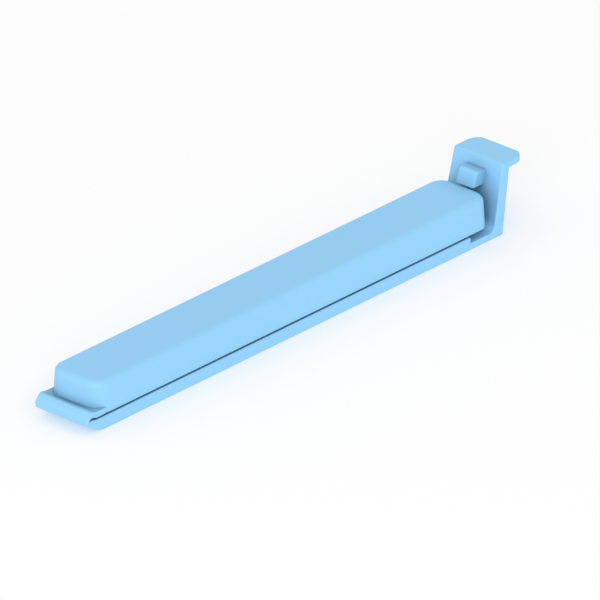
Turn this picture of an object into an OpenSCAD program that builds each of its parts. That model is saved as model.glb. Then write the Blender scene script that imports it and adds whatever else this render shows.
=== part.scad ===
// Snap-latch bag clip: two jaws joined by a living hinge, held shut by a
// spring post with a catch and a thumb lip. Modelled closed.
// X runs from the hinge nose to the thumb lip, Z is up from the flat underside.

/* [Overall] */
// Length from the hinge nose to the tip of the thumb lip
clip_l = 120; // [100:1:140]
// Width across the jaws
clip_w = 13; // [12:0.5:16]
// Height from the underside to the top of the thumb lip
clip_h = 14; // [13.6:0.1:18]

/* [Lower jaw] */
// Thickness of the lower jaw's bar
bar_t = 2.6; // [2.4:0.1:2.8]
// Gap between the closed jaws
slit = 0.4; // [0.3:0.05:0.5]
// Width of the seal rib
rib_w = 1.6; // [1.2:0.1:2]
// Height of the seal rib above the bar
rib_h = 1.8; // [1.2:0.1:2.4]

/* [Upper jaw] */
// Height of the upper jaw's back above the underside
jaw_top = 9.2; // [8.6:0.1:9.4]
// Wall thickness of the upper jaw's shell
wall_t = 1.2; // [1:0.1:1.5]
// Corner radius of the upper jaw in plan
jaw_plan_r = 3.4; // [3:0.1:4]
// Radius along the upper jaw's top edges
jaw_edge_r = 1.2; // [1:0.1:1.4]
// Number of bays between the stiffening webs
web_bays = 6; // [4:1:8]

/* [Hinge] */
// Radius of the nose's tip
tip_r = 0.65; // [0.6:0.05:0.7]
// Height of the middle of the nose's tip
tip_z = 2.45; // [2.35:0.05:2.5]
// Radius of the crown over the hinge strap
crown_r = 0.8; // [0.7:0.05:0.9]
// Radius of the sole that sweeps up to the nose
sole_r = 6; // [5.5:0.5:6.5]
// Thickness of the upper hinge leaf
leaf_t = 1.15; // [1.1:0.05:1.25]

/* [Latch] */
// Thickness of the flexing floor in front of the post
floor_t = 1.4; // [1.2:0.1:1.8]
// Post thickness at its foot
post_foot_t = 2.8; // [2.4:0.1:3.2]
// Post thickness at its top
post_top_t = 2; // [1.6:0.1:2.4]
// Outward lean of the post's inner face over its whole height
post_lean = 3.3; // [2.8:0.1:3.6]
// How much narrower the post is at its top, on each side
post_taper = 0.5; // [0.2:0.1:0.8]
// Thickness of the thumb lip
lip_t = 1.3; // [1.1:0.1:1.6]
// Length of the thumb lip from the post's inner edge
lip_l = 6.2; // [5.6:0.1:7]
// Width of the catch
catch_w = 4.4; // [4:0.2:6]
// How far the catch reaches over the upper jaw's end
catch_hold = 0.6; // [0.4:0.1:0.9]
// Slope of the catch's front face, from upright
catch_slope = 20; // [10:1:25]

/* [Hidden] */
$fn = 64;

PLASTIC = "lightskyblue";
PLASTIC_INSIDE = "skyblue";
cut = 1; // how far a cutting solid runs past what it cuts

// Lengths along X
hinge_end_l = 3; // from the nose to the upper jaw's shell
strap_l = 1.4; // from the nose to the bending strap's right end
sole_l = 5.2; // from the nose to where the sole's sweep starts
crown_back = 1.9; // from the nose to the middle of the crown
crown_fall_l = 1.2; // from the crown's top to the leaf's flat top
jaw_clearance = 0.1; // between the shell's end and the post's foot line
foot_toe_l = 0.9; // from the flexing floor to the post's foot line
floor_l = 5.3; // length of the flexing floor

// Stations along X, from the hinge nose to the lip's tip
nose_x = -clip_l / 2;
tip_centre = [nose_x + tip_r, tip_z];
leaf_cut_x = nose_x + strap_l;
jaw_x0 = nose_x + hinge_end_l;
leaf_end_x = jaw_x0 + jaw_plan_r;
lip_tip_x = clip_l / 2;
post_top_x = lip_tip_x - lip_l;
post_foot_x = post_top_x - post_lean;
jaw_x1 = post_foot_x - jaw_clearance;
floor_x1 = post_foot_x - foot_toe_l;
floor_x0 = floor_x1 - floor_l;

// Heights
jaw_z0 = bar_t + slit;
leaf_top_z = jaw_z0 + leaf_t;
crown_rise = 0.2; // crown's top above the leaf's flat top
crown_centre = [nose_x + crown_back, leaf_top_z + crown_rise - crown_r];
sole_centre = [nose_x + sole_l, sole_r];
roof_z = jaw_top - wall_t;
foot_top_z = 2.6;
catch_clearance = 0.05; // between the closed jaw's back and the catch
catch_z0 = jaw_top + catch_clearance;
catch_h = 2.75;
catch_front_x = jaw_x1 - catch_hold;
catch_round_r = 1;
foot_fillet_r = 1.2;

// Left end of the slit between the jaws: a low hump, then down to the strap.
// The strap is what is left between the slit's end and the nose's upper face.
slit_turn_x = nose_x + 2.85;
slit_hump_x = nose_x + 1.5;
slit_end_x = nose_x + 0.8;
slit_hump = 0.3; // height of the hump
slit_step_l = 0.2; // length of the last step down, to the slit's end
hinge_cut_z = bar_t + 0.05; // strap and lower leaf meet at this height

// Seal inside the jaws
seal_x0 = nose_x + 9;
seal_x1 = floor_x0 - 3;
seal_gap = 0.35;
lip_wall_t = 0.9;
lip_y0 = rib_w / 2 + seal_gap;
lip_y1 = lip_y0 + lip_wall_t;
stiff_web_t = 0.9;
stiff_web_z0 = jaw_z0 + 0.8;

nose_plan_r = 0.8;
lip_plan_r = 2.6;

// ---- Plan outlines and XZ profiles ----

// Rounded rectangle from x0 to x1, centred on the X axis
module rounded_plan(x0, x1, width, r) {
    translate([x0 + r, -width / 2]) square([x1 - x0 - 2 * r, width]);
    translate([x0, r - width / 2]) square([x1 - x0, width - 2 * r]);
    for (x = [x0 + r, x1 - r], y = [-1, 1] * (width / 2 - r))
        translate([x, y]) circle(r);
}

// Outline of the hinge end in plan, with both left corners rounded
module nose_plan(x1) {
    translate([nose_x + nose_plan_r, -clip_w / 2])
        square([x1 - nose_x - nose_plan_r, clip_w]);
    translate([nose_x, nose_plan_r - clip_w / 2])
        square([x1 - nose_x, clip_w - 2 * nose_plan_r]);
    for (y = [-1, 1] * (clip_w / 2 - nose_plan_r))
        translate([nose_x + nose_plan_r, y]) circle(nose_plan_r);
}

// Turns an XZ profile into a solid across the clip's whole width
module across(width = clip_w) {
    translate([0, width / 2, 0]) rotate([90, 0, 0])
        linear_extrude(width) children();
}

// Keeps what stands inside the hinge end's plan, up to x1
module within_nose(x1) {
    intersection() {
        children();
        translate([0, 0, -cut]) linear_extrude(clip_h + 2 * cut) nose_plan(x1);
    }
}

// Point on a circle at an angle
function on_circle(centre, r, turn) = centre + r * [cos(turn), sin(turn)];

// Points along an arc, both ends included
function arc_points(centre, r, from, to, steps) =
    [for (n = [0 : steps]) on_circle(centre, r, from + (to - from) * n / steps)];

// Angle of the outward normal of the line that touches two circles on its left
function touch_turn(from, from_r, to, to_r) =
    atan2(to.y - from.y, to.x - from.x) + acos((from_r - to_r) / norm(to - from));

// Side profile of the hinge end: a sole that sweeps up, a small round tip, a
// slope up to the crown, and a fall to the leaf's flat top
module nose_profile() {
    upper_turn = touch_turn(tip_centre, tip_r, crown_centre, crown_r) - 360;
    lower_turn = touch_turn(sole_centre, sole_r, tip_centre, tip_r);
    crown_top = crown_centre + [0, crown_r];
    polygon(concat(
        arc_points(sole_centre, sole_r, -90, lower_turn, 6),
        arc_points(tip_centre, tip_r, lower_turn, upper_turn, 10),
        arc_points(crown_centre, crown_r, upper_turn, -270, 5),
        [
            crown_top + [crown_fall_l / 2, -crown_rise / 3],
            [crown_top.x + crown_fall_l, leaf_top_z],
            [leaf_end_x, leaf_top_z], [leaf_end_x, 0],
        ]
    ));
}

// Left end of a line that follows the slit, from its right end at height z
function slit_line(z) = [
    [leaf_end_x + cut, z], [slit_turn_x, z],
    [(slit_turn_x + slit_hump_x) / 2, z + slit_hump * 2 / 3],
    [slit_hump_x, z + slit_hump], [slit_end_x + slit_step_l, z + slit_hump / 2],
    [slit_end_x, z],
];

// Side profile of the gap between the jaws at the hinge end
module slit_profile() {
    polygon(concat(slit_line(jaw_z0), [for (n = [5 : -1 : 0]) slit_line(bar_t)[n]]));
}

// Everything over the slit's centre line, right of x0
module above_slit(x0) {
    intersection() {
        polygon(concat(slit_line(bar_t + slit / 2), [
            [nose_x - cut, bar_t + slit / 2], [nose_x - cut, clip_h],
            [leaf_end_x + cut, clip_h],
        ]));
        translate([x0, 0]) square([leaf_end_x + cut - x0, clip_h]);
    }
}

// ---- Lower jaw ----

module lower_jaw_bar() color(PLASTIC)
    translate([leaf_end_x, -clip_w / 2, 0])
        cube([floor_x0 - leaf_end_x, clip_w, bar_t]);

module lower_hinge_leaf() color(PLASTIC)
    within_nose(leaf_end_x) across() difference() {
        nose_profile();
        slit_profile();
        above_slit(slit_end_x);
        translate([nose_x - cut, hinge_cut_z]) square([slit_end_x - nose_x + cut, clip_h]);
    }

// Round-topped rib that presses the bag's film between the seal lips
module seal_rib() color(PLASTIC_INSIDE) {
    length = seal_x1 - seal_x0;
    straight_h = rib_h - rib_w / 2;
    translate([seal_x0, -rib_w / 2, bar_t]) cube([length, rib_w, straight_h]);
    translate([seal_x0, 0, bar_t + straight_h]) rotate([0, 90, 0])
        intersection() {
            cylinder(h = length, d = rib_w);
            translate([-rib_w, -rib_w, 0]) cube([rib_w, 2 * rib_w, length]);
        }
}

// ---- Upper jaw ----

// Round coin with a rolled top edge, one at each corner of the shell
module rolled_corner() {
    rotate_extrude() {
        square([jaw_plan_r, jaw_top - jaw_z0 - jaw_edge_r]);
        square([jaw_plan_r - jaw_edge_r, jaw_top - jaw_z0]);
        translate([jaw_plan_r - jaw_edge_r, jaw_top - jaw_z0 - jaw_edge_r])
            intersection() {
                circle(jaw_edge_r);
                square(jaw_edge_r);
            }
    }
}

// XZ or YZ section of the shell with both top edges rolled
module rolled_section(from, to) {
    translate([from, 0]) square([to - from, jaw_top - jaw_z0 - jaw_edge_r]);
    translate([from + jaw_edge_r, 0])
        square([to - from - 2 * jaw_edge_r, jaw_top - jaw_z0]);
    for (u = [from + jaw_edge_r, to - jaw_edge_r])
        translate([u, jaw_top - jaw_z0 - jaw_edge_r]) circle(jaw_edge_r);
}

// Solid soap-bar form of the upper jaw
module jaw_form() {
    inset = jaw_plan_r;
    half_w = clip_w / 2;
    translate([0, 0, jaw_z0]) {
        translate([0, half_w - inset, 0]) rotate([90, 0, 0])
            linear_extrude(clip_w - 2 * inset) rolled_section(jaw_x0, jaw_x1);
        translate([jaw_x0 + inset, 0, 0]) rotate([90, 0, 90])
            linear_extrude(jaw_x1 - jaw_x0 - 2 * inset)
                rolled_section(-half_w, half_w);
        for (x = [jaw_x0 + inset, jaw_x1 - inset], y = [-1, 1] * (half_w - inset))
            translate([x, y, 0]) rolled_corner();
    }
}

// Channel shell, open underneath
module upper_jaw_shell() color(PLASTIC)
    difference() {
        jaw_form();
        translate([0, 0, jaw_z0 - cut]) linear_extrude(roof_z - jaw_z0 + cut)
            rounded_plan(jaw_x0 + wall_t, jaw_x1 - wall_t,
                clip_w - 2 * wall_t, jaw_plan_r - wall_t);
    }

// Leaf from the strap to the shell's foot, filling the shell's round corners
module upper_hinge_leaf() color(PLASTIC)
    difference() {
        within_nose(leaf_end_x) across() difference() {
            intersection() {
                nose_profile();
                above_slit(leaf_cut_x);
            }
            slit_profile();
        }
        translate([0, 0, -cut]) linear_extrude(clip_h + 2 * cut)
            rounded_plan(jaw_x0, jaw_x1, clip_w, jaw_plan_r);
    }

// Two long lips that the seal rib enters between
module seal_lips() color(PLASTIC_INSIDE)
    for (y = [lip_y0, -lip_y1])
        translate([seal_x0, y, jaw_z0])
            cube([seal_x1 - seal_x0, lip_wall_t, roof_z - jaw_z0]);

// Cross webs that tie the lips to the shell's side walls
module stiffening_webs() color(PLASTIC_INSIDE) {
    bay = (seal_x1 - seal_x0 - stiff_web_t) / web_bays;
    reach = clip_w / 2 - wall_t - lip_y1;
    for (n = [0 : web_bays], y = [lip_y1, -lip_y1 - reach])
        translate([seal_x0 + n * bay, y, stiff_web_z0])
            cube([stiff_web_t, reach, roof_z - stiff_web_z0]);
}

// ---- Hinge ----

// Bending strap between the two leaves, thinnest beside the slit's end
module living_hinge() color(PLASTIC)
    within_nose(leaf_end_x) across() difference() {
        intersection() {
            nose_profile();
            translate([nose_x - cut, hinge_cut_z])
                square([leaf_cut_x - nose_x + cut, clip_h]);
            union() {
                above_slit(slit_end_x);
                translate([nose_x - cut, 0]) square([slit_end_x - nose_x + cut, clip_h]);
            }
        }
        slit_profile();
    }

// ---- Latch ----

function post_inner_x(z) = post_foot_x + post_lean * z / clip_h;
function post_outer_x(z) = post_inner_x(z) + post_foot_t
    - (post_foot_t - post_top_t) * z / clip_h;

// Thin floor that flexes when the thumb lip is pushed outward
module flexure_floor() color(PLASTIC)
    translate([floor_x0, -clip_w / 2, 0])
        cube([floor_x1 - floor_x0, clip_w, floor_t]);

// Trims a solid to the post's slight taper in width
module narrowing() {
    intersection() {
        children();
        rotate([90, 0, 90]) translate([0, 0, floor_x0])
            linear_extrude(clip_l) polygon([
                [-clip_w / 2, 0], [clip_w / 2, 0],
                [clip_w / 2 - post_taper, clip_h], [post_taper - clip_w / 2, clip_h],
            ]);
    }
}

// Foot of the post, with a fillet that runs from the floor into the leaning face
module post_foot() color(PLASTIC) {
    lean = atan2(post_lean, clip_h);
    fillet_z = floor_t + foot_fillet_r;
    fillet_centre = [post_inner_x(fillet_z) - foot_fillet_r / cos(lean), fillet_z];
    narrowing() across() difference() {
        polygon([
            [floor_x1, 0], [post_outer_x(0), 0],
            [post_outer_x(foot_top_z), foot_top_z],
            [post_inner_x(foot_top_z), foot_top_z],
            on_circle(fillet_centre, foot_fillet_r, -lean), fillet_centre,
            [fillet_centre.x, floor_t], [floor_x1, floor_t],
        ]);
        translate(fillet_centre) circle(foot_fillet_r);
    }
}

module latch_post() color(PLASTIC)
    narrowing() across() polygon([
        [post_inner_x(foot_top_z), foot_top_z], [post_outer_x(foot_top_z), foot_top_z],
        [post_outer_x(clip_h), clip_h], [post_inner_x(clip_h), clip_h],
    ]);

// Catch on the post's inner face: a sloping front with a round brow
module latch_catch() color(PLASTIC)
    across(catch_w) {
        top_z = catch_z0 + catch_h;
        front_l = (catch_h - catch_round_r * (1 - sin(catch_slope))) / cos(catch_slope);
        front_top = [catch_front_x, catch_z0]
            + front_l * [sin(catch_slope), cos(catch_slope)];
        brow = front_top + catch_round_r * [cos(catch_slope), -sin(catch_slope)];
        polygon([
            [catch_front_x, catch_z0], [post_inner_x(catch_z0), catch_z0],
            [post_inner_x(top_z), top_z], [brow.x, top_z], brow, front_top,
        ]);
        intersection() {
            translate(brow) circle(catch_round_r);
            translate([catch_front_x, brow.y])
                square([brow.x - catch_front_x, catch_round_r]);
        }
    }

// Lip that the thumb pushes to let the catch go
module thumb_lip() color(PLASTIC)
    difference() {
        narrowing() translate([0, 0, clip_h - lip_t]) linear_extrude(lip_t)
            rounded_plan(post_top_x - lip_l, lip_tip_x, clip_w - 2 * post_taper,
                lip_plan_r);
        across() polygon([
            [floor_x0 - clip_l, 0], [post_outer_x(0), 0],
            [post_outer_x(2 * clip_h), 2 * clip_h], [floor_x0 - clip_l, 2 * clip_h],
        ]);
    }

lower_jaw_bar();
lower_hinge_leaf();
seal_rib();
upper_jaw_shell();
upper_hinge_leaf();
seal_lips();
stiffening_webs();
living_hinge();
flexure_floor();
post_foot();
latch_post();
latch_catch();
thumb_lip();
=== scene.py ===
"""Bag clip: the moulded plastic skins, their material, a pale floor, soft light and the camera.

Everything is in metres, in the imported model's frame: X runs from the hinge nose to the thumb
lip, Z is up from the flat underside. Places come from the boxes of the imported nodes.
"""

import math

import bmesh
import bpy
from mathutils import Matrix, Vector


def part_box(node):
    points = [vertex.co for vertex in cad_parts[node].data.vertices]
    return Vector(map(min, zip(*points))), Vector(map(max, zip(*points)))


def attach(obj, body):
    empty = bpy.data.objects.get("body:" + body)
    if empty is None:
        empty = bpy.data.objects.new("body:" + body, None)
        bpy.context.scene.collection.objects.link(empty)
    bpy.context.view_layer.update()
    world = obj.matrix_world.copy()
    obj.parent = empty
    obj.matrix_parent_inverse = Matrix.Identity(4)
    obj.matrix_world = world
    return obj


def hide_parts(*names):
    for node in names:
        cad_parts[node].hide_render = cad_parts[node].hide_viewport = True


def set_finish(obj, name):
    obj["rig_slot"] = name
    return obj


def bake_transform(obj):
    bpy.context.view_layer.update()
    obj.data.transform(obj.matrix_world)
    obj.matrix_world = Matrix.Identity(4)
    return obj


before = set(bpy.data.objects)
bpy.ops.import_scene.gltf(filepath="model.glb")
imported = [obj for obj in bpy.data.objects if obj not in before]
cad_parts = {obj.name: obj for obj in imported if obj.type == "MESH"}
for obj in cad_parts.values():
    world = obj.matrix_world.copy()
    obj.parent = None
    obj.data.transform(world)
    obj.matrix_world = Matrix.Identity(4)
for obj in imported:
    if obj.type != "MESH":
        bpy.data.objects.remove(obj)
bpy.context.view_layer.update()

MM = 0.001
ARC_STEPS = 5
CREASE_DEGREES = 32  # edges that turn more than this stay sharp
SEAM_EDGE = 0.02 * MM  # as good as square, where two skins meet flush
TOP_EDGE = 0.2 * MM  # rounding along the skins' upper side edges
SOLE_EDGE = 0.3 * MM  # rounding along the floor's and the latch's lower side edges

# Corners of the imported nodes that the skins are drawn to
bar_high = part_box("lower_jaw_bar")[1]
leaf_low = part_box("lower_hinge_leaf")[0]
upper_leaf_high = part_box("upper_hinge_leaf")[1]
strap_low, strap_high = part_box("living_hinge")
shell_low, shell_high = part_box("upper_jaw_shell")
rib_low, rib_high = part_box("seal_rib")
lips_low, lips_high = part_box("seal_lips")
webs_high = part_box("stiffening_webs")[1]
floor_low, floor_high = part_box("flexure_floor")
catch_low, catch_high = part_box("latch_catch")
thumb_low, thumb_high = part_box("thumb_lip")

half_width = bar_high.y
clip_height = thumb_high.z
nose_x = leaf_low.x
leaf_thickness = 1.15 * MM
leaf_top = shell_low.z + leaf_thickness


# ---- Mesh helpers ----

def finish_mesh(name, mesh_data):
    """Turns a bmesh into a smooth-shaded piece whose edges over the crease angle stay sharp."""
    bmesh.ops.recalc_face_normals(mesh_data, faces=mesh_data.faces)
    mesh = bpy.data.meshes.new(name)
    mesh_data.to_mesh(mesh)
    mesh_data.free()
    for face in mesh.polygons:
        face.use_smooth = True
    mesh.set_sharp_from_angle(angle=math.radians(CREASE_DEGREES))
    piece = bpy.data.objects.new(name, mesh)
    bpy.context.scene.collection.objects.link(piece)
    return piece


def weight_normals(piece):
    """Lets the broad faces set the shading, so that small rounded edges catch the light."""
    modifier = piece.modifiers.new("broad_faces_lead", "WEIGHTED_NORMAL")
    modifier.keep_sharp = True
    modifier.weight = 80


def skin_rings(mesh_data, rings):
    """Quads between neighbouring closed rings of equal length."""
    for ring, following in zip(rings, rings[1:]):
        for n in range(len(ring)):
            m = (n + 1) % len(ring)
            mesh_data.faces.new((ring[n], ring[m], following[m], following[n]))


def half_section(thickness, low_edge, high_edge, rows, columns):
    """Half a rounded section, from its lower middle to its upper middle.

    Each point is (share of the way out to the side, inset from the side, height).
    """
    low_edge = min(low_edge, 0.45 * thickness)
    high_edge = min(high_edge, 0.45 * thickness)
    points = [(k / columns, low_edge, 0) for k in range(columns)]
    for k in range(ARC_STEPS + 1):
        turn = math.pi / 2 * k / ARC_STEPS
        points.append((1, low_edge * (1 - math.sin(turn)), low_edge * (1 - math.cos(turn))))
    side = thickness - low_edge - high_edge
    points += [(1, 0, low_edge + side * k / rows) for k in range(1, rows)]
    for k in range(ARC_STEPS + 1):
        turn = math.pi / 2 * k / ARC_STEPS
        points.append(
            (1, high_edge * (1 - math.cos(turn)), thickness - high_edge * (1 - math.sin(turn)))
        )
    points += [(k / columns, high_edge, thickness) for k in reversed(range(columns))]
    return points


def ribbon(name, upper, lower, width_at, high_edge, low_edge, rows=2, columns=2):
    """Closed solid between two matching XZ lines, reaching width_at(x, z) to each side.

    high_edge and low_edge are the side edges' radii, as numbers or as functions of x.
    """
    mesh_data = bmesh.new()
    rings = []
    for (upper_x, upper_z), (lower_x, lower_z) in zip(upper, lower):
        thickness = math.hypot(upper_x - lower_x, upper_z - lower_z)
        edges = [e(lower_x) if callable(e) else e for e in (low_edge, high_edge)]
        half = []
        for share, inset, height in half_section(thickness, *edges, rows, columns):
            t = height / thickness
            x = lower_x + (upper_x - lower_x) * t
            z = lower_z + (upper_z - lower_z) * t
            half.append((x, share * (width_at(x, z) - inset), z))
        mirrored = [(x, -y, z) for x, y, z in reversed(half[1:-1])]
        rings.append([mesh_data.verts.new(p) for p in half + mirrored])
    skin_rings(mesh_data, rings)
    mesh_data.faces.new(rings[0])
    mesh_data.faces.new(rings[-1])
    return finish_mesh(name, mesh_data)


def even(start, stop, count):
    """count + 1 evenly spaced values."""
    return [start + (stop - start) * k / count for k in range(count + 1)]


def bunched(start, stop, count):
    """count + 1 values, closer together near start, as round ends need."""
    return [start + (stop - start) * (1 - math.cos(math.pi / 2 * k / count))
            for k in range(count + 1)]


def arc(centre_x, centre_z, radius, from_degrees, to_degrees, count):
    """Points along an arc in the XZ plane; 0 degrees is +X and 90 is up."""
    turns = [math.radians(a) for a in even(from_degrees, to_degrees, count)]
    return [(centre_x + radius * math.cos(t), centre_z + radius * math.sin(t)) for t in turns]


def along(line, x):
    """Height of a line of (x, z) points at x."""
    if x <= line[0][0]:
        return line[0][1]
    for (x0, z0), (x1, z1) in zip(line, line[1:]):
        if x <= x1:
            return z0 + (z1 - z0) * (x - x0) / (x1 - x0)
    return line[-1][1]


# ---- Hinge end: shared outline ----

tip_radius = 0.65 * MM
tip = (nose_x + tip_radius, 2.45 * MM)
crown_radius = 0.8 * MM
crown_rise = 0.2 * MM
crown_fall = 1.2 * MM  # length of the fall from the crown's top to the leaf's flat top
crown = (nose_x + 1.9 * MM, leaf_top + crown_rise - crown_radius)
sole_radius = 6.0 * MM
sole = (nose_x + 5.2 * MM, sole_radius)
nose_plan_radius = 0.8 * MM
slit_end_x = nose_x + 0.8 * MM
slit_hump_x = nose_x + 1.5 * MM
slit_turn_x = shell_low.x - 0.15 * MM
slit_hump = 0.3 * MM
slit_step = 0.2 * MM  # length of the slit's last step down, to its left end
slit_sliver = 0.01 * MM  # keeps the slit's end wall from standing exactly upright
strap_end_x = strap_high.x
leaf_low_edge = 0.12 * MM
seam_z = strap_low.z  # where the strap stands on the lower leaf


def touch_angle(start, start_radius, end, end_radius):
    """Outward normal, in degrees, of the line that touches two circles on its left."""
    dx, dz = end[0] - start[0], end[1] - start[1]
    turn = math.atan2(dz, dx) + math.acos((start_radius - end_radius) / math.hypot(dx, dz))
    return math.degrees(turn) % 360


upper_touch = touch_angle(tip, tip_radius, crown, crown_radius)
lower_touch = touch_angle(sole, sole_radius, tip, tip_radius)


def leaf_fall(steps=8):
    """Soft fall from the crown's top to the leaf's flat top."""
    return [(crown[0] + crown_fall * t, leaf_top + crown_rise * (1 + math.cos(math.pi * t)) / 2)
            for t in even(0, 1, steps)[1:]]


# Upper and lower outline of the hinge end, each from the nose's tip towards the jaws
nose_top = (arc(*tip, tip_radius, 180, upper_touch, 6)
            + arc(*crown, crown_radius, upper_touch, 90, 6) + leaf_fall())
nose_sole = (arc(*tip, tip_radius, 180, lower_touch, 6)
             + arc(*sole, sole_radius, lower_touch, 270, 10))


def slit_line(z, steps=6):
    """The slit's edge at the hinge end: from its left end over a low hump to height z."""
    ramp = [(slit_hump_x + (slit_turn_x - slit_hump_x) * t,
             z + slit_hump * (1 + math.cos(math.pi * t)) / 2) for t in even(0, 1, steps)]
    left_end = [(slit_end_x + slit_sliver, z), (slit_end_x + slit_step, z + slit_hump / 2)]
    return left_end + ramp


slit_floor = slit_line(bar_high.z)
slit_roof = slit_line(shell_low.z)


def nose_width(x, z):
    """Half width of the hinge end, with its corners rounded in plan."""
    into_corner = min(nose_plan_radius, max(0.0, nose_x + nose_plan_radius - x))
    return half_width - nose_plan_radius + math.sqrt(nose_plan_radius**2 - into_corner**2)


def stations(start, stop, step, *lines):
    """X stations between two places: every corner of the lines, and no gap over step."""
    least_gap = 0.004 * MM
    marks = sorted({start, stop} | {x for line in lines for x, z in line if start < x < stop})
    merged = [start]
    for mark in marks[1:]:
        if mark - merged[-1] > least_gap:
            merged.append(mark)
    merged[-1] = stop
    full = [start]
    for mark in merged[1:]:
        full += even(full[-1], mark, math.ceil((mark - full[-1]) / step))[1:]
    return full


# ---- Lower jaw ----

def lower_jaw_skin():
    """Flat bar and the lower part of the hinge nose, up to the seam under the strap."""
    bar_end = 0.2 * MM  # rounding of the bar's end, over the notch
    sole_edge = 0.25 * MM
    xs = stations(nose_x + 0.002 * MM, slit_end_x, 0.1 * MM, nose_sole, nose_top)
    upper = [(x, min(seam_z, along(nose_top, x))) for x in xs]
    ramp = stations(slit_end_x + slit_sliver, sole[0], 0.3 * MM, slit_floor, nose_sole)
    ramp += even(sole[0], bar_high.x - bar_end, 24)[1:]
    upper += [(x, along(slit_floor, x)) for x in ramp]
    lower = [(x, along(nose_sole, x)) for x in xs + ramp]
    upper += arc(bar_high.x - bar_end, bar_high.z - bar_end, bar_end, 90, 0, 4)[1:]
    lower += [(x, 0.0) for x, z in upper[len(lower):]]

    def top_edge(x):
        return SEAM_EDGE if x < slit_end_x else leaf_low_edge

    piece = ribbon("lower_jaw_skin", upper, lower, nose_width, top_edge, sole_edge, rows=3)
    weight_normals(piece)
    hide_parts("lower_jaw_bar", "lower_hinge_leaf")
    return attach(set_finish(piece, "clip_plastic"), "lower_jaw")


def seal_rib_skin():
    """Round-topped rib down the middle of the lower jaw."""
    radius = rib_high.y
    end = 0.6 * MM
    xs = bunched(rib_low.x, rib_low.x + end, 5)[:-1] + even(rib_low.x + end, rib_high.x - end, 24)
    xs += [rib_low.x + rib_high.x - x for x in bunched(rib_low.x, rib_low.x + end, 5)[-2::-1]]

    def top(x):
        inset = max(0.0, rib_low.x + end - x, x - rib_high.x + end)
        return rib_high.z - end + math.sqrt(max(0.0, end**2 - inset**2))

    upper = [(x, top(x)) for x in xs]
    root_depth = 0.1 * MM
    lower = [(x, bar_high.z - root_depth) for x in xs]
    piece = ribbon("seal_rib_skin", upper, lower, lambda x, z: radius, radius * 0.95, SEAM_EDGE)
    weight_normals(piece)
    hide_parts("seal_rib")
    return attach(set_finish(piece, "clip_plastic_inside"), "lower_jaw")


# ---- Living hinge ----

def hinge_strap_skin():
    """Thin strap over the slit's end, which bends when the jaws open.

    Its sections fan round the slit's end, so that they turn one after another.
    """
    tip_x = tip[0] - math.sqrt(tip_radius**2 - (seam_z - tip[1]) ** 2) + 0.004 * MM
    seam_top_x, wall_top_x = nose_x + 0.22 * MM, nose_x + 0.55 * MM
    steps_seam, steps_wall, steps_roof = 8, 7, 18
    upper_x = even(tip_x, seam_top_x, steps_seam)
    upper_x += even(seam_top_x, wall_top_x, steps_wall)[1:]
    upper_x += even(wall_top_x, strap_end_x, steps_roof)[1:]
    upper = [(x, along(nose_top, x)) for x in upper_x]
    lower = [(x, seam_z) for x in even(tip_x, slit_end_x, steps_seam)]
    lower += [(slit_end_x, z) for z in even(seam_z, slit_roof[0][1], steps_wall)[1:]]
    lower += [(x, along(slit_roof, x)) for x in even(slit_end_x, strap_end_x, steps_roof)[1:]]

    def low_edge(x):
        return SEAM_EDGE if x <= slit_end_x else leaf_low_edge

    piece = ribbon("hinge_strap_skin", upper, lower, nose_width, TOP_EDGE, low_edge, rows=8)
    start = Vector((slit_end_x, 0, seam_z))
    bend_length = 0.8 * MM
    reach = Vector((0.6, 0, 0.8)) * bend_length  # up along the strap's sloping face
    mark_bend(piece, lambda v: (v - start).dot(reach) / reach.length_squared)
    weight_normals(piece)
    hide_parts("living_hinge")
    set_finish(piece, "clip_plastic")
    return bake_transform(piece)


def mark_bend(piece, share_at):
    """Stores how much each point takes part in a bend, for the material's paler bend line."""
    bend = piece.data.attributes.new("bend", "FLOAT", "POINT")
    for n, vertex in enumerate(piece.data.vertices):
        share = min(1.0, max(0.0, share_at(vertex.co)))
        bend.data[n].value = 4 * share * (1 - share)


# ---- Upper jaw ----

jaw_corner = 3.4 * MM


def plan_ring(inset, corner, long_steps=24, corner_steps=10):
    """Rounded rectangle round the upper jaw in plan, moved in by inset."""
    corner = max(corner - inset, 0.05 * MM)
    x0, x1 = shell_low.x + inset, shell_high.x - inset
    reach = shell_high.y - inset
    points = []
    for cx, cy, start in (
        (x1 - corner, reach - corner, 0), (x0 + corner, reach - corner, 90),
        (x0 + corner, corner - reach, 180), (x1 - corner, corner - reach, 270),
    ):
        turns = [math.radians(a) for a in even(start, start + 90, corner_steps)]
        points += [(cx + corner * math.cos(t), cy + corner * math.sin(t)) for t in turns]
        last_x, last_y = points[-1]
        if start in (0, 180):  # along the long sides
            end_x = x0 + corner if start == 0 else x1 - corner
            points += [(x, last_y) for x in even(last_x, end_x, long_steps)[1:-1]]
        else:  # across the ends
            points += [(last_x, y) for y in even(last_y, -last_y, 6)[1:-1]]
    return [(x + bulge(x, y), y) for x, y in points]


def bulge(x, y):
    """The hinge end of the jaw is a little full in the middle, so its corners lie back."""
    fade_length = 4 * MM
    corner_setback = 0.35 * MM
    fade = max(0.0, 1 - (x - shell_low.x) / fade_length)
    return corner_setback * (y / half_width) ** 2 * fade


def ring_loft(name, stages, corner):
    """Closed solid through plan rings, each given as (inset, height)."""
    mesh_data = bmesh.new()
    rings = [
        [mesh_data.verts.new((x, y, z)) for x, y in plan_ring(inset, corner)]
        for inset, z in stages
    ]
    skin_rings(mesh_data, rings)
    mesh_data.faces.new(rings[0])
    mesh_data.faces.new(rings[-1])
    return finish_mesh(name, mesh_data)


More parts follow.
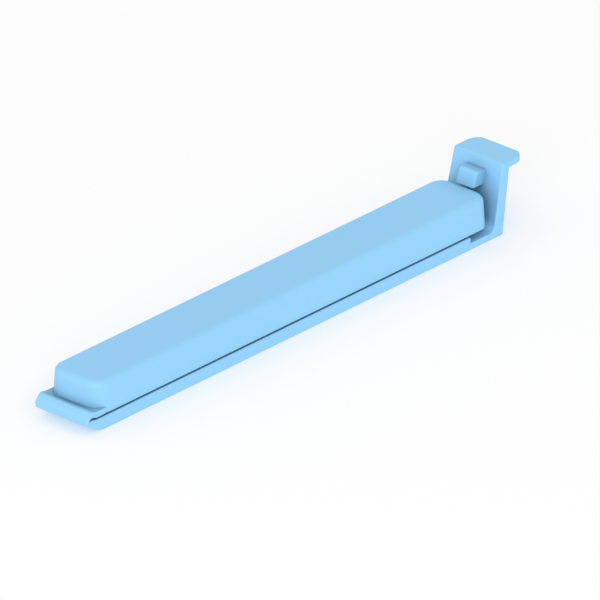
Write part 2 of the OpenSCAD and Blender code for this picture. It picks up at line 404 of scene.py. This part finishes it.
def upper_jaw_skin():
    """Soap-bar shell: drafted sides, rolled top edges, hollow underneath."""
    wall = 1.2 * MM
    draft = 0.3 * MM
    roll = 1.3 * MM
    rim = 0.15 * MM
    inner_roll = 0.5 * MM
    low, top = shell_low.z, shell_high.z
    roof = webs_high.z
    stages = [(wall + inner_roll - dx, roof - inner_roll + dz) for dx, dz in
              arc(0, 0, inner_roll, 90, 0, 4)]
    stages += [(wall, z) for z in even(roof - inner_roll, low + rim, 3)[1:]]
    stages += [(wall - rim + dx, low + rim + dz) for dx, dz in arc(0, 0, rim, 0, -90, 3)[1:]]
    stages += [(rim + dx, low + rim + dz) for dx, dz in arc(0, 0, rim, -90, -180, 3)]
    shoulder = top - roll
    stages += [(draft * (z - low) / (shoulder - low), z) for z in even(low + rim, shoulder, 4)[1:]]
    stages += [(draft + roll + dx, shoulder + dz) for dx, dz in arc(0, 0, roll, 180, 90, 8)[1:]]
    piece = ring_loft("upper_jaw_skin", stages, jaw_corner)
    weight_normals(piece)
    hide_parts("upper_jaw_shell")
    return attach(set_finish(piece, "clip_plastic"), "upper_jaw")


def upper_leaf_skin():
    """Low leaf from the strap to the jaw's foot, ending inside the jaw's wall."""
    sink_start_x = shell_low.x + 1.0 * MM
    sink_depth = 0.16 * MM
    xs = stations(strap_end_x, upper_leaf_high.x, 0.3 * MM, nose_top, slit_roof)
    upper = [(x, along(nose_top, x)) for x in xs]
    lower = [(x, along(slit_roof, x)) for x in xs]

    def sinking_width(x, z):
        """The leaf's sides sink into the jaw's sides at its right end."""
        t = max(0.0, (x - sink_start_x) / (upper_leaf_high.x - sink_start_x))
        return nose_width(x, z) - sink_depth * t * t * (3 - 2 * t)

    piece = ribbon("upper_leaf_skin", upper, lower, sinking_width, TOP_EDGE, leaf_low_edge,
                   columns=8)
    mid_wall = 0.7 * MM
    cut(piece, ring_loft("leaf_cutter", [(mid_wall, 0.0), (mid_wall, clip_height)], jaw_corner))
    weight_normals(piece)
    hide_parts("upper_hinge_leaf")
    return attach(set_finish(piece, "clip_plastic"), "upper_jaw")


def cut(piece, cutter):
    """Takes the cutter's shape out of the piece and removes the cutter."""
    modifier = piece.modifiers.new("cut", "BOOLEAN")
    modifier.operation = "DIFFERENCE"
    modifier.solver = "EXACT"
    modifier.object = cutter
    bpy.context.view_layer.update()
    evaluated = piece.evaluated_get(bpy.context.evaluated_depsgraph_get())
    mesh = bpy.data.meshes.new_from_object(evaluated)
    piece.modifiers.clear()
    piece.data = mesh
    bpy.data.objects.remove(cutter)
    drop_slivers(mesh)
    mesh.set_sharp_from_angle(angle=math.radians(CREASE_DEGREES))


def drop_slivers(mesh):
    """Merges points that a cut left on top of each other and drops the faces between them."""
    same_place = 0.003 * MM
    mesh_data = bmesh.new()
    mesh_data.from_mesh(mesh)
    bmesh.ops.remove_doubles(mesh_data, verts=mesh_data.verts, dist=same_place)
    bmesh.ops.triangulate(mesh_data, faces=[f for f in mesh_data.faces if len(f.verts) > 4])
    bmesh.ops.dissolve_degenerate(mesh_data, edges=mesh_data.edges, dist=same_place)
    mesh_data.to_mesh(mesh)
    mesh_data.free()


def seal_lips_skin():
    """The two long lips that the seal rib enters between."""
    seal_gap = 0.35 * MM
    roof_bite = 0.1 * MM  # how far the lips run into the jaw's roof
    thickness = lips_high.y - rib_high.y - seal_gap
    middle = lips_high.y - thickness / 2
    mesh_data = bmesh.new()
    for side in (-1, 1):
        bmesh.ops.create_cube(mesh_data, size=1, matrix=box_matrix(
            (lips_low.x, side * middle - thickness / 2, lips_low.z),
            (lips_high.x, side * middle + thickness / 2, lips_high.z + roof_bite)))
    bmesh.ops.bevel(mesh_data, geom=mesh_data.edges[:], offset=0.25 * MM, segments=3,
                    affect="EDGES", profile=0.5)
    piece = finish_mesh("seal_lips_skin", mesh_data)
    weight_normals(piece)
    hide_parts("seal_lips")
    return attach(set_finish(piece, "clip_plastic_inside"), "upper_jaw")


def box_matrix(low, high):
    """Matrix that turns a unit cube into the box between two corners."""
    low, high = Vector(low), Vector(high)
    return Matrix.Translation((low + high) / 2) @ Matrix.Diagonal((*(high - low), 1.0))


# ---- Latch ----

post_lean = 3.3 * MM
thumb_lip_length = 6.2 * MM
post_foot_x = thumb_high.x - thumb_lip_length - post_lean
post_foot_thickness = 2.8 * MM
post_top_thickness = 2.0 * MM
post_taper = 0.5 * MM
lip_plan_radius = 2.6 * MM


def post_inner(z):
    return post_foot_x + post_lean * z / clip_height


def post_outer(z):
    thinning = (post_foot_thickness - post_top_thickness) * z / clip_height
    return post_inner(z) + post_foot_thickness - thinning


def latch_width(x, z):
    """Half width of the post and its lip: narrower upward, with the lip's corners rounded."""
    taper = half_width - post_taper * z / clip_height
    into_corner = x - (thumb_high.x - lip_plan_radius)
    if into_corner <= 0:
        return taper
    arc_part = math.sqrt(max(0.0, lip_plan_radius**2 - into_corner**2))
    return min(taper, half_width - post_taper - lip_plan_radius + arc_part)


def flexure_floor_skin():
    """Thin floor that flexes in front of the post."""
    xs = even(floor_low.x, floor_high.x, 14)
    upper = [(x, floor_high.z) for x in xs]
    lower = [(x, 0.0) for x in xs]
    piece = ribbon("flexure_floor_skin", upper, lower, nose_width, TOP_EDGE, SOLE_EDGE, rows=3)
    mark_bend(piece, lambda v: (v.x - floor_low.x) / (floor_high.x - floor_low.x))
    weight_normals(piece)
    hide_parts("flexure_floor")
    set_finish(piece, "clip_plastic")
    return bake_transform(piece)


def latch_skin():
    """Post with its foot's fillet and the thumb lip, as one bent plate."""
    lean = math.atan2(post_lean, clip_height)
    fillet = 1.2 * MM
    fillet_z = floor_high.z + fillet
    fillet_x = post_inner(fillet_z) - fillet / math.cos(lean)
    heel = 0.6 * MM
    inner_arc = arc(fillet_x, fillet_z, fillet, -90, -math.degrees(lean), 12)
    bottom = [(x, 0.0) for x in even(floor_high.x, post_outer(0) - heel, 5)]
    heel_arc = arc(post_outer(heel) - heel, heel, heel, -90, 0, 6)[1:]
    upper = [(floor_high.x, floor_high.z)] + inner_arc
    lower = bottom + heel_arc
    lower += [(post_outer(z), z) for z in even(heel, inner_arc[-1][1], len(upper) - len(lower))[1:]]

    under = thumb_low.z
    crook = 0.4 * MM
    brow = 0.3 * MM
    bend_start = under - crook
    for z in even(inner_arc[-1][1], bend_start, 12)[1:]:
        upper.append((post_inner(z), z))
        lower.append((post_outer(z), z))
    top_corner = [(post_inner(z), z) for z in even(bend_start, clip_height - brow, 4)[1:]]
    top_corner += arc(post_inner(clip_height) + brow, clip_height - brow, brow, 180, 90, 4)[1:]
    upper += top_corner
    lower += arc(post_outer(bend_start) + crook, bend_start, crook, 180, 90, len(top_corner))[1:]
    lip_start_x = lower[-1][0]

    lip_round = 0.3 * MM
    corner_x = thumb_high.x - lip_plan_radius
    end_x = thumb_high.x - lip_round
    for t in even(0, 1, 4)[1:]:
        upper.append((top_corner[-1][0] + (corner_x - top_corner[-1][0]) * t, clip_height))
        lower.append((lip_start_x + (corner_x - lip_start_x) * t, under))
    rounding = [end_x - (end_x - corner_x) * (1 - math.sin(math.pi / 2 * t))
                for t in even(0, 1, 10)[1:]]
    upper += [(x, clip_height) for x in rounding]
    lower += [(x, under) for x in rounding]
    upper += arc(end_x, clip_height - lip_round, lip_round, 90, 0, 4)[1:]
    lower += arc(end_x, under + lip_round, lip_round, -90, 0, 4)[1:]

    piece = ribbon("latch_skin", upper, lower, latch_width, TOP_EDGE, SOLE_EDGE)
    weight_normals(piece)
    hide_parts("post_foot", "latch_post", "thumb_lip")
    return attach(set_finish(piece, "clip_plastic"), "latch")


def catch_skin():
    """Catch on the post's inner face: a sloping front with a round brow."""
    slope_degrees = 20
    slope = math.radians(slope_degrees)
    root_depth = 0.4 * MM
    side_edge = 0.4 * MM
    brow_radius = 1.0 * MM
    height = catch_high.z - catch_low.z
    front = (height - brow_radius * (1 - math.sin(slope))) / math.cos(slope)
    shoulder = Vector((catch_low.x + front * math.sin(slope), catch_low.z + front * math.cos(slope)))
    brow = shoulder + brow_radius * Vector((math.cos(slope), -math.sin(slope)))
    outline = [(catch_low.x + (shoulder.x - catch_low.x) * t,
                catch_low.z + (shoulder.y - catch_low.z) * t) for t in even(0, 1, 4)]
    outline += arc(brow.x, brow.y, brow_radius, 180 - slope_degrees, 91, 12)[1:]
    root = [(post_inner(z) + root_depth, z) for x, z in outline]
    piece = ribbon("catch_skin", outline, root, lambda x, z: catch_high.y, side_edge, SEAM_EDGE,
                   rows=3, columns=3)
    weight_normals(piece)
    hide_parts("latch_catch")
    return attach(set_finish(piece, "clip_plastic"), "latch")


# ---- Material ----

MIX_A, MIX_B, MIX_RESULT = 6, 7, 2  # a mix node's colour sockets
OUTSIDE_COLOUR = (0.272, 0.60, 0.895)
# The inside colour is the outside colour a little darker: painted shade for the pieces inside the
# jaws
INSIDE_SHADED_COLOUR = (0.262, 0.585, 0.875)
# Painted shade: the dark colour that the creases above the slit are mixed towards
PAINTED_SHADE_COLOUR = (0.07, 0.13, 0.17, 1)  # where hardly any light gets in


def add_node(tree, kind, **values):
    """A shader node with its inputs and settings given by name."""
    node = tree.nodes.new(kind)
    for name, value in values.items():
        if name in node.inputs:
            node.inputs[name].default_value = value
        else:
            setattr(node, name, value)
    return node


def moulded_plastic(name, colour, roughness):
    """Satin polypropylene: faint flow variation, a fine spark texture, paler where it bends, and
    painted shade in the corners above the slit.
    """
    material = bpy.data.materials.new(name)
    material.use_nodes = True
    tree = material.node_tree
    link = tree.links.new
    shader = tree.nodes["Principled BSDF"]
    place = add_node(tree, "ShaderNodeTexCoord")

    flow = add_node(tree, "ShaderNodeTexNoise", Scale=38.0, Detail=3.0, Roughness=0.5)
    link(place.outputs["Object"], flow.inputs["Vector"])
    tint = add_node(tree, "ShaderNodeMix", data_type="RGBA")
    tint.inputs[MIX_A].default_value = (*[c * 0.97 for c in colour], 1)
    tint.inputs[MIX_B].default_value = (*[min(1.0, c * 1.02) for c in colour], 1)
    link(flow.outputs["Fac"], tint.inputs["Factor"])

    bend = add_node(tree, "ShaderNodeAttribute", attribute_name="bend")
    pale = add_node(tree, "ShaderNodeMix", data_type="RGBA")
    pale.inputs[MIX_B].default_value = (*[c + (1 - c) * 0.35 for c in colour], 1)
    amount = add_node(tree, "ShaderNodeMath", operation="MULTIPLY")
    amount.inputs[1].default_value = 0.08
    link(bend.outputs["Fac"], amount.inputs[0])
    link(amount.outputs["Value"], pale.inputs["Factor"])
    link(tint.outputs[MIX_RESULT], pale.inputs[MIX_A])

    sheen_map = add_node(tree, "ShaderNodeTexNoise", Scale=160.0, Detail=4.0)
    link(place.outputs["Object"], sheen_map.inputs["Vector"])
    gloss = add_node(tree, "ShaderNodeMapRange")
    gloss.inputs["To Min"].default_value = roughness - 0.06
    gloss.inputs["To Max"].default_value = roughness + 0.06
    link(sheen_map.outputs["Fac"], gloss.inputs["Value"])
    link(gloss.outputs["Result"], shader.inputs["Roughness"])

    # Painted shade: the colour is darkened in the corners above the slit, where little light gets
    # in, more on faces that look up, and fading out below 3.2 mm height
    corner = add_node(tree, "ShaderNodeAmbientOcclusion", samples=12, Distance=4.5 * MM)
    spot = add_node(tree, "ShaderNodeNewGeometry")
    split = add_node(tree, "ShaderNodeSeparateXYZ")
    link(spot.outputs["Position"], split.inputs["Vector"])
    above = add_node(tree, "ShaderNodeMapRange")
    above.inputs["From Min"].default_value = 2.0 * MM
    above.inputs["From Max"].default_value = 3.2 * MM
    link(split.outputs["Z"], above.inputs["Value"])
    closed_in = add_node(tree, "ShaderNodeMath", operation="SUBTRACT")
    closed_in.inputs[0].default_value = 1.0
    link(corner.outputs["AO"], closed_in.inputs[1])
    facing = add_node(tree, "ShaderNodeSeparateXYZ")
    link(spot.outputs["Normal"], facing.inputs["Vector"])
    level = add_node(tree, "ShaderNodeMapRange")
    level.inputs["To Min"].default_value = 0.55
    level.inputs["To Max"].default_value = 1.5
    link(facing.outputs["Z"], level.inputs["Value"])
    strength = add_node(tree, "ShaderNodeMath", operation="MULTIPLY")
    link(above.outputs["Result"], strength.inputs[0])
    link(level.outputs["Result"], strength.inputs[1])
    painted_shade_amount = add_node(tree, "ShaderNodeMath", operation="MULTIPLY")
    link(closed_in.outputs["Value"], painted_shade_amount.inputs[0])
    link(strength.outputs["Value"], painted_shade_amount.inputs[1])
    shade = add_node(tree, "ShaderNodeMix", data_type="RGBA")
    shade.inputs[MIX_B].default_value = PAINTED_SHADE_COLOUR
    link(painted_shade_amount.outputs["Value"], shade.inputs["Factor"])
    link(pale.outputs[MIX_RESULT], shade.inputs[MIX_A])
    link(shade.outputs[MIX_RESULT], shader.inputs["Base Color"])

    spark = add_node(tree, "ShaderNodeTexNoise", Scale=5200.0, Detail=2.0)
    link(place.outputs["Object"], spark.inputs["Vector"])
    bump = add_node(tree, "ShaderNodeBump", Strength=0.12, Distance=0.00004)
    link(spark.outputs["Fac"], bump.inputs["Height"])
    link(bump.outputs["Normal"], shader.inputs["Normal"])

    shader.inputs["IOR"].default_value = 1.49
    shader.inputs["Specular IOR Level"].default_value = 0.4
    return material


def paint(pieces):
    """Gives every shown piece the material of its slot."""
    outside = moulded_plastic("moulded_outside", OUTSIDE_COLOUR, 0.46)
    # The inside pieces get a slightly darker copy of the same plastic: painted shade
    inside = moulded_plastic("moulded_inside", INSIDE_SHADED_COLOUR, 0.42)
    for piece in pieces:
        piece.data.materials.clear()
        is_inner = piece.get("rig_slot") == "clip_plastic_inside"
        piece.data.materials.append(inside if is_inner else outside)
    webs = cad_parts["stiffening_webs"]
    for slot in webs.material_slots:
        slot.material = inside


# ---- Studio ----

def pale_floor():
    """Plain near-white floor just under the clip, glowing faintly like a light table."""
    bpy.ops.mesh.primitive_plane_add(size=24, location=(0, 0, -0.02 * MM))
    floor = bpy.context.object
    floor.name = "studio_floor"
    material = bpy.data.materials.new("studio_floor")
    material.use_nodes = True
    shader = material.node_tree.nodes["Principled BSDF"]
    shader.inputs["Base Color"].default_value = (0.66, 0.66, 0.66, 1)
    shader.inputs["Emission Color"].default_value = (1, 1, 1, 1)
    shader.inputs["Emission Strength"].default_value = 0.34
    shader.inputs["Roughness"].default_value = 0.9
    shader.inputs["Specular IOR Level"].default_value = 0.1
    floor.data.materials.append(material)


def soft_light():
    """Bright even sky with one broad key from the camera's left."""
    world = bpy.data.worlds.new("studio")
    bpy.context.scene.world = world
    world.use_nodes = True
    background = world.node_tree.nodes["Background"]
    background.inputs["Color"].default_value = (1, 1, 1, 1)
    background.inputs["Strength"].default_value = 0.88
    add_area("key", (-1.0, -0.75, 0.45), 0.9, 5.8)


def add_area(name, position, size, power):
    """Square area light at position, facing the clip."""
    light = bpy.data.lights.new(name, "AREA")
    light.size = size
    light.energy = power
    holder = bpy.data.objects.new(name, light)
    holder.location = position
    holder.rotation_euler = (-Vector(position)).to_track_quat("-Z", "Y").to_euler()
    bpy.context.scene.collection.objects.link(holder)


def photo_camera():
    """Long lens, so that the clip's long edges stay parallel."""
    azimuth, elevation = math.radians(48), math.radians(26)
    frame_width = 109.4 * MM
    aim_right, aim_up = 3.2 * MM, 3.43 * MM
    data = bpy.data.cameras.new("photo_camera")
    data.lens = 1500
    data.sensor_width = 36
    data.clip_end = 100
    camera = bpy.data.objects.new("photo_camera", data)
    bpy.context.scene.collection.objects.link(camera)
    back = Vector((-math.sin(azimuth) * math.cos(elevation),
                   -math.cos(azimuth) * math.cos(elevation), math.sin(elevation)))
    turn = (-back).to_track_quat("-Z", "Y")
    right, up = turn @ Vector((1, 0, 0)), turn @ Vector((0, 1, 0))
    distance = frame_width * data.lens / data.sensor_width
    camera.rotation_mode = "QUATERNION"
    camera.rotation_quaternion = turn
    camera.location = back * distance + right * aim_right + up * aim_up
    bpy.context.scene.camera = camera
    bpy.context.scene.view_settings.view_transform = "Standard"


paint([
    lower_jaw_skin(), seal_rib_skin(), hinge_strap_skin(),
    upper_jaw_skin(), upper_leaf_skin(), seal_lips_skin(),
    flexure_floor_skin(), latch_skin(), catch_skin(),
])
pale_floor()
soft_light()
photo_camera()
